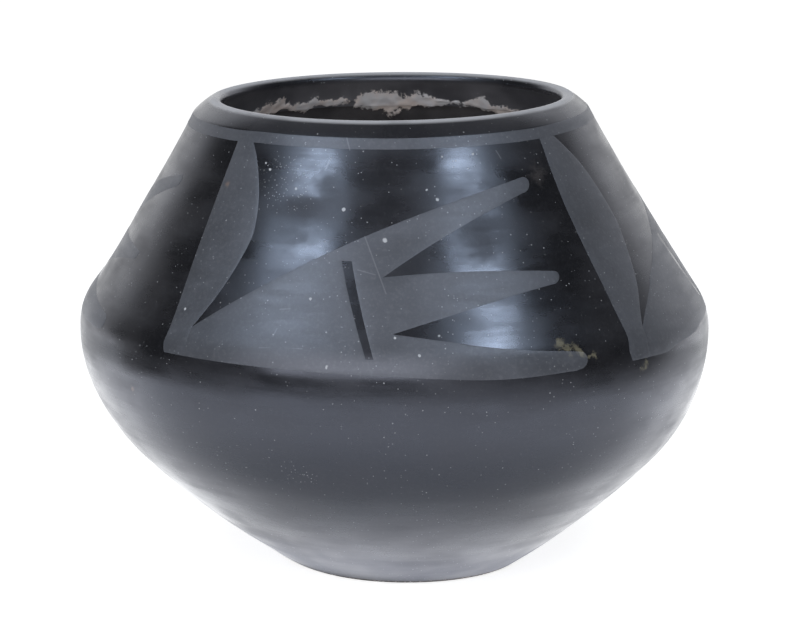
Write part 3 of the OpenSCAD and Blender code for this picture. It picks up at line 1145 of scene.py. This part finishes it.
def slip_material():
    m, t = material("burnished_black_slip")
    streak, haze = noise(t, "streak"), noise(t, "haze")
    # The foot is paler and rougher: partly wear, partly a painted reflection of the bright floor
    # round it
    high = add(t, parts(t, position(t))["Z"], ramp(t, noise(t, "foot_edge_noise"), *SPAN, *FOOT_EDGE))
    foot = ramp(t, high, *FOOT_WEAR_AND_REFLECTION_SPAN)
    # The crest's pale line: partly wear, partly a painted highlight of the lamps
    crest = times(t, attribute(t, "crest"), ramp(t, haze, *CREST_WEAR_AND_HIGHLIGHT_SPAN))
    inside = attribute(t, "inside")
    hazy = add(t, ramp(t, haze, *HAZE_ROUGH), ramp(t, noise(t, "smear"), *SMEAR_ROUGH))
    hazy = add(t, hazy, blots(t, "dull"))
    rough = add(t, ramp(t, streak, *STREAK_SPAN, *SLIP_ROUGH), hazy)
    rough = add(t, rough, times(t, foot, FOOT_ROUGH))
    rough = most(t, rough, times(t, most(t, inside, crest), WORN_ROUGH))
    base = tint(t, ramp(t, haze, *HAZE_COLOR_SPAN), *SLIP_COLORS)
    # Paler foot colour: partly wear, partly a painted reflection of the bright floor
    base = tint(t, foot, base, FOOT_WEAR_AND_REFLECTION_COLOR)
    # Pale crest colour: partly wear, partly a painted highlight
    base = tint(t, crest, base, CREST_WEAR_AND_HIGHLIGHT_COLOR)
    base, rough = aged(t, base, rough, SLIP_DUST, SLIP_MOTTLE)
    scraped = tint(t, ramp(t, haze, *SCRAPED_SPAN), *SCRAPED_COLORS)
    base, rough, _ = crusted(t, tint(t, inside, base, scraped), rough)
    height = add(t, times(t, streak, STREAK_BUMP), times(t, noise(t, "lumps"), LUMP_BUMP))
    surface(
        t,
        Base_Color=base,
        Roughness=rough,
        IOR=SLIP_IOR,
        Specular_Tint=SLIP_SHEEN,
        Normal=bumped(t, height, *SLIP_BUMP),
    )
    return m


def paint_material():
    m, t = material("matte_black_paint")
    cloud, brushed = noise(t, "paint_cloud"), noise(t, "brushed")
    base = tint(t, ramp(t, cloud, *SPAN), *PAINT_COLORS)
    rough = add(t, ramp(t, brushed, *SPAN, *PAINT_ROUGH), ramp(t, cloud, *PAINT_CLOUD_ROUGH))
    base, rough = aged(t, base, rough, PAINT_DUST, PAINT_MOTTLE)
    height = add(t, brushed, times(t, noise(t, "tooth"), TOOTH_BUMP))
    surface(
        t,
        Base_Color=base,
        Roughness=rough,
        IOR=PAINT_IOR,
        Specular_Tint=PAINT_SHEEN,
        Normal=bumped(t, height, *PAINT_BUMP),
    )
    return m


def clay_material():
    m, t = material("smoked_clay")
    cloud = noise(t, "clay_cloud")
    dark = tint(t, ramp(t, cloud, *SPAN), *CLAY_COLORS)
    base, rough, grain = crusted(t, dark, CLAY_ROUGH)
    normal = bumped(t, add(t, grain, cloud), *CLAY_BUMP)
    surface(t, Base_Color=base, Roughness=rough, Normal=normal)
    return m


looks = {
    "fired_clay": clay_material(),
    "polished_slip": slip_material(),
    "matte_paint": paint_material(),
}
for piece in pieces.values():
    piece.data.materials.append(looks[piece["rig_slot"]])

# ---------------------------------------------------------------- stage

# The floor: round in front, and wide behind, so that the picture's edges stay white
FLOOR_R = 0.29
FLOOR_SIDES_A = 100
FLOOR_STEP_A = 5
FLOOR_W = 2.5
FLOOR_BACK = (1.0, 4.0)
FLOOR_COLOR = (0.8, 0.8, 0.8, 1)
FLOOR_WHITE = 0.8
# The floor's painted glow, which only the jar's gloss shows: a painted pool of light round the foot
# with a painted shadow right at it, ramps over the distance from the jar's axis or over the
# distance behind it, in metres
PAINTED_FLOOR_GLOW = {
    "ring": (0.09, 0.17, 0.0, 0.40),
    "behind": (-0.07, 0.03, 0.24, 1.1),
    "ring_end": (0.36, 0.27, 0.25, 1.0),
    "far_behind": (0.16, 0.38, 0.0, 1.2),
    "side": (-0.08, -0.02, 0.0, 0.5),
    "side_end": (0.14, 0.07),
    "near": (0.078, 0.046, 0.24, 1.5),
    "foot_shade": (0.0362, 0.0415, 0.2, 1.0),
}
# What the room shows in it: ramps over the direction's parts
ROOM = {
    "aside": (0.35, 0.75, 0.16, 0.06),
    "low": (0.0, -0.2, 0.0, 0.12),
    "stand_z": (0.07, 0.03, 0.0, 0.9),
    "stand_x": (0.13, 0.04),
    "stand_front": (0.0, -0.3),
    "backdrop": (0.37, 0.82, 0.0, 1.0),
}
STAND_Z = -0.04
STAND_X = 0.64
BACKDROP_TURN = 0.08
# The room's plain light
ROOM_LEVEL = 0.27

# Azimuth and elevation in degrees, distance, width and height in metres, power in watts, colour
LAMPS = {
    "soft_left": (-50, 46, 1.3, (0.42, 0.20), 2.6, (0.80, 0.92, 1.0)),
    "soft_right": (44, 44, 1.3, (0.42, 0.20), 2.3, (0.80, 0.92, 1.0)),
    "fill": (-14, 16, 2.0, (2.4, 1.2), 17.0, (1, 1, 1)),
}
LAMP_TARGET = Vector((0, 0, 0.09))

FOCAL_PX = 3179
IMAGE_W = 794
SENSOR = 36.0
CLIP = (0.05, 20)
CAMERA_AT = (-0.0012, -1.0, 0.284)
CAMERA_DOWN = 11.51


def seen_rays(tree):
    """1 for the rays that show the background: from the camera, in a gloss and through glass."""
    path = put(tree, "ShaderNodeLightPath").outputs
    both = add(tree, path["Is Camera Ray"], path["Is Glossy Ray"])
    return add(tree, both, path["Is Transmission Ray"], clamp=True), path


def white_paper():
    m, t = material("white_paper")
    path = put(t, "ShaderNodeLightPath").outputs
    spot = put(t, "ShaderNodeNewGeometry").outputs["Position"]
    flat = vector(t, "MULTIPLY", {0: spot, 1: (1, 1, 0)})[0]
    reach = vector(t, "LENGTH", {0: flat})["Value"]
    behind = parts(t, spot)["Y"]
    far = add(t, ramp(t, reach, *PAINTED_FLOOR_GLOW["ring"]), ramp(t, behind, *PAINTED_FLOOR_GLOW["behind"]))
    far = times(t, far, ramp(t, reach, *PAINTED_FLOOR_GLOW["ring_end"]))
    far = most(t, far, ramp(t, behind, *PAINTED_FLOOR_GLOW["far_behind"]))
    side = times(t, ramp(t, behind, *PAINTED_FLOOR_GLOW["side"]), ramp(t, reach, *PAINTED_FLOOR_GLOW["side_end"]))
    # A painted pool of light round the foot, darkened right at the foot as a painted shadow
    painted_glow = most(t, ramp(t, reach, *PAINTED_FLOOR_GLOW["near"]), add(t, far, side))
    painted_glow = times(t, painted_glow, ramp(t, reach, *PAINTED_FLOOR_GLOW["foot_shade"]))
    painted_glow = times(t, path["Is Glossy Ray"], painted_glow)
    glow = add(t, times(t, path["Is Camera Ray"], FLOOR_WHITE), painted_glow)
    glow = put(t, "ShaderNodeEmission", {"Color": (1, 1, 1, 1), "Strength": glow})
    plain = put(t, "ShaderNodeBsdfDiffuse", {"Color": FLOOR_COLOR})
    both = put(t, "ShaderNodeAddShader", {0: plain.outputs[0], 1: glow.outputs[0]})
    put(t, "ShaderNodeOutputMaterial", {"Surface": both.outputs[0]})
    return m


def light_room(t):
    """A white backdrop for the camera, a dim room in the gloss and plain light on the rest."""
    rays, path = seen_rays(t)
    way = parts(t, put(t, "ShaderNodeTexCoord").outputs["Generated"])
    side = size_of(t, way["X"])
    stand_z = size_of(t, add(t, way["Z"], -STAND_Z))
    stand_x = size_of(t, calc(t, "SUBTRACT", side, STAND_X))
    stands = times(t, ramp(t, stand_z, *ROOM["stand_z"]), ramp(t, stand_x, *ROOM["stand_x"]))
    stands = times(t, stands, ramp(t, way["Y"], *ROOM["stand_front"]))
    room = add(t, ramp(t, side, *ROOM["aside"]), ramp(t, way["Z"], *ROOM["low"]))
    room = add(t, room, stands)
    backdrop = add(t, way["Y"], times(t, most(t, way["X"], 0.0), BACKDROP_TURN))
    room = most(t, room, ramp(t, backdrop, *ROOM["backdrop"]))
    shown = most(t, room, path["Is Camera Ray"])
    mix = {0: rays, 2: ROOM_LEVEL, 3: shown}
    level = put(t, "ShaderNodeMix", mix, data_type="FLOAT").outputs[0]
    sky = put(t, "ShaderNodeBackground", {"Color": (1, 1, 1, 1), "Strength": level})
    put(t, "ShaderNodeOutputWorld", {"Surface": sky.outputs[0]})


def lamp(name, azimuth, elevation, distance, size, watts, color):
    """A soft lamp that looks at the jar."""
    light = bpy.data.lights.new(name, "AREA")
    light.shape = "RECTANGLE"
    light.size, light.size_y = size
    light.energy = watts
    light.color = color
    obj = bpy.data.objects.new(name, light)
    a, e = math.radians(azimuth), math.radians(elevation)
    away = Vector((math.cos(e) * math.sin(a), -math.cos(e) * math.cos(a), math.sin(e)))
    obj.location = LAMP_TARGET + distance * away
    obj.rotation_euler = away.to_track_quat("Z", "Y").to_euler()
    obj.visible_camera = False
    bpy.context.scene.collection.objects.link(obj)


front = [math.radians(a) for a in range(-FLOOR_SIDES_A, FLOOR_SIDES_A + 1, FLOOR_STEP_A)]
floor_edge = [(FLOOR_R * math.sin(a), -FLOOR_R * math.cos(a), 0) for a in front]
floor_edge += [(FLOOR_W, y, 0) for y in FLOOR_BACK] + [(-FLOOR_W, y, 0) for y in FLOOR_BACK[::-1]]
floor_mesh = bpy.data.meshes.new("floor")
floor_mesh.from_pydata(floor_edge, [], [tuple(range(len(floor_edge)))])
floor_mesh.materials.append(white_paper())
floor = bpy.data.objects.new("floor", floor_mesh)
bpy.context.scene.collection.objects.link(floor)

world = bpy.data.worlds.new("studio")
bpy.context.scene.world = world
world.use_nodes = True
world.node_tree.nodes.clear()
light_room(world.node_tree)

for name, settings in LAMPS.items():
    lamp(name, *settings)

data = bpy.data.cameras.new("camera")
data.sensor_width = SENSOR
data.sensor_fit = "HORIZONTAL"
data.lens = FOCAL_PX / IMAGE_W * SENSOR
data.clip_start, data.clip_end = CLIP
camera = bpy.data.objects.new("camera", data)
camera.location = CAMERA_AT
camera.rotation_euler = (math.radians(90 - CAMERA_DOWN), 0, 0)
bpy.context.scene.collection.objects.link(camera)
bpy.context.scene.camera = camera
bpy.context.scene.view_settings.view_transform = "Standard"
